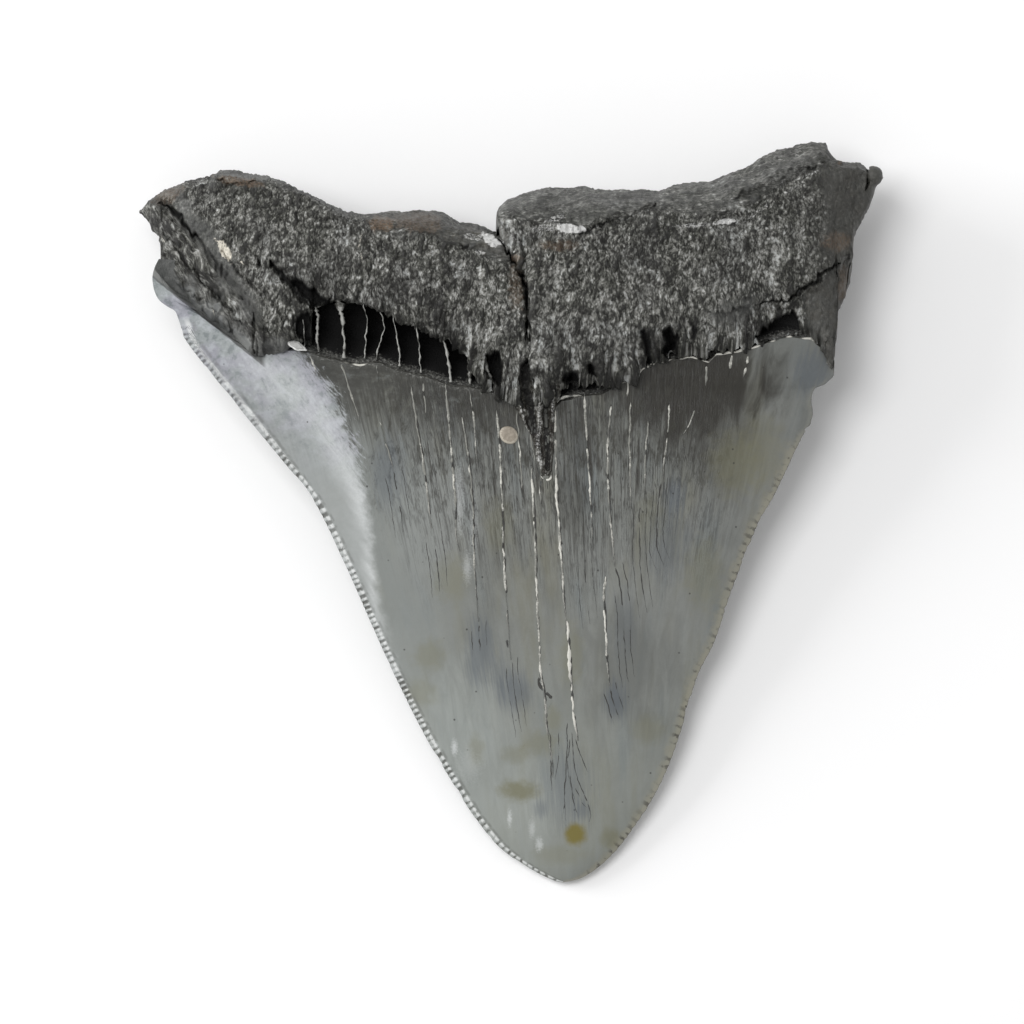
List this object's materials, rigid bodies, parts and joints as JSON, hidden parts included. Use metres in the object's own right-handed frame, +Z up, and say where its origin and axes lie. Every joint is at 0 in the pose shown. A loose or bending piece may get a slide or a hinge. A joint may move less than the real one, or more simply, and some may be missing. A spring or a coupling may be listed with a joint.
{
  "type": "megalodon tooth",
  "caption": "Fossil shark tooth: a broad triangular blade with serrated edges under a rough, cracked and pitted root.",
  "frame": {"origin": "centre of the bounding box at the face the tooth rests on", "axes": "+Z up out of the outer (labial) face, -Y towards the point of the blade, +Y towards the root, +X to the right when the outer face is seen with the root at the top"},
  "size_m": [0.0929, 0.0929, 0.0202],
  "materials": {
    "fossil": "satin"
  },
  "bodies": {
    "root": {"tooth": "fossil"}
  },
  "joints": []
}
